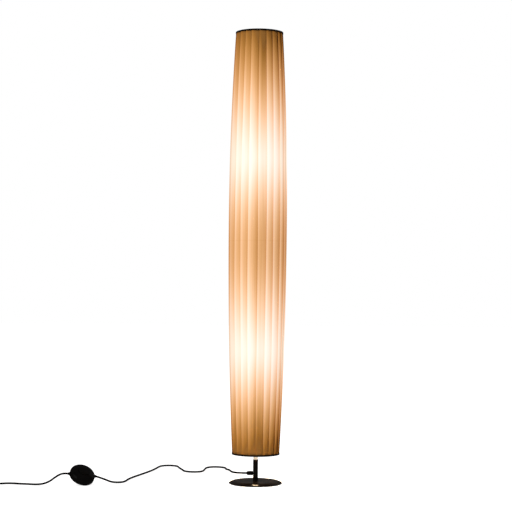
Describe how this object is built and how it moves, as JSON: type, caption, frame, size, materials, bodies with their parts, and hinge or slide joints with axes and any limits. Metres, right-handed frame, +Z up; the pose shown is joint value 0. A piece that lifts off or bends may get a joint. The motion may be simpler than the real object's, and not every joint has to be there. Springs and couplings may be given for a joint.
{
  "type": "floor lamp",
  "caption": "Slim column floor lamp: barrel-shaped pleated fabric shade lit by bulbs on a thin pole, small round base, mains cord with foot switch.",
  "frame": {"origin": "on the floor under the middle of the base", "axes": "+Z up the pole; the front of the lamp looks along -Y; the cord leaves the pole towards -X"},
  "size_m": [0.932, 0.456, 1.2],
  "materials": {
    "shade_fabric": "matte, warm tan, lit from inside",
    "shade_edging": "matte, near black",
    "black_metal": "gloss black paint",
    "bright_metal": "satin nickel",
    "frame_wire": "zinc plated wire",
    "screw_steel": "plated steel",
    "holder_plastic": "off-white, matte",
    "contact_brass": "plain",
    "opal_glass": "opal",
    "bulb_metal": "satin",
    "lead_plastic": "brown insulation",
    "switch_plastic": "glossy black",
    "cord_plastic": "satin near black",
    "foot_rubber": "matte black"
  },
  "bodies": {
    "lamp": {"base_disc": "black_metal", "base_nut": "screw_steel", "base_pad": "foot_rubber", "base_washer": "screw_steel", "bottom_binding": "shade_edging", "bottom_hub_nut": "screw_steel", "bottom_spider": "frame_wire", "bracket_screws": "screw_steel", "centre_tube": "frame_wire", "coil_tie": "switch_plastic", "cord_coil": "cord_plastic", "cord_gland": "switch_plastic", "cord_tail": "cord_plastic", "cord_to_coil": "cord_plastic", "cord_to_switch": "cord_plastic", "holder_nipples": "screw_steel", "holder_nuts": "screw_steel", "lower_bracket": "screw_steel", "lower_centre_contact": "contact_brass", "lower_holder_cap": "holder_plastic", "lower_holder_core": "holder_plastic", "lower_holder_skirt": "holder_plastic", "lower_lead": "lead_plastic", "lower_thread_lining": "contact_brass", "lower_uprights": "frame_wire", "plug_body": "switch_plastic", "plug_pins": "bright_metal", "plug_relief": "cord_plastic", "pole_sleeve": "black_metal", "shade_cover": "shade_fabric", "shade_mid_ring": "frame_wire", "sleeve_collar": "bright_metal", "switch_base": "switch_plastic", "switch_bushings": "switch_plastic", "switch_clamps": "holder_plastic", "switch_cover": "switch_plastic", "switch_feet": "foot_rubber", "switch_mechanism": "holder_plastic", "switch_screws": "screw_steel", "switch_spring": "screw_steel", "top_binding": "shade_edging", "top_cap_nut": "bright_metal", "top_lock_nut": "screw_steel", "top_spider": "frame_wire", "upper_bracket": "screw_steel", "upper_centre_contact": "contact_brass", "upper_holder_cap": "holder_plastic", "upper_holder_core": "holder_plastic", "upper_holder_skirt": "holder_plastic", "upper_lead": "lead_plastic", "upper_thread_lining": "contact_brass", "upper_uprights": "frame_wire"},
    "switch_button": {"switch_button": "switch_plastic"},
    "lower_bulb": {"lower_bulb_glass": "opal_glass", "lower_bulb_cap": "bulb_metal", "lower_bulb_contact": "contact_brass"},
    "upper_bulb": {"upper_bulb_glass": "opal_glass", "upper_bulb_cap": "bulb_metal", "upper_bulb_contact": "contact_brass"}
  },
  "joints": [
    {"name": "switch_button_press", "type": "slide", "parent": "lamp", "child": "switch_button", "axis": [-0.3506, 0.5178, -0.7803], "range_m": [0, 0.003], "stiffness_N_per_m": 1200, "springref_m": -0.002, "deforming": ["switch_spring"]},
    {"name": "lower_bulb_unscrew", "type": "slide", "parent": "lamp", "child": "lower_bulb", "axis": [0, 0, 1], "range_m": [0, 0.06]},
    {"name": "upper_bulb_unscrew", "type": "slide", "parent": "lamp", "child": "upper_bulb", "axis": [0, 0, 1], "range_m": [0, 0.06]}
  ]
}
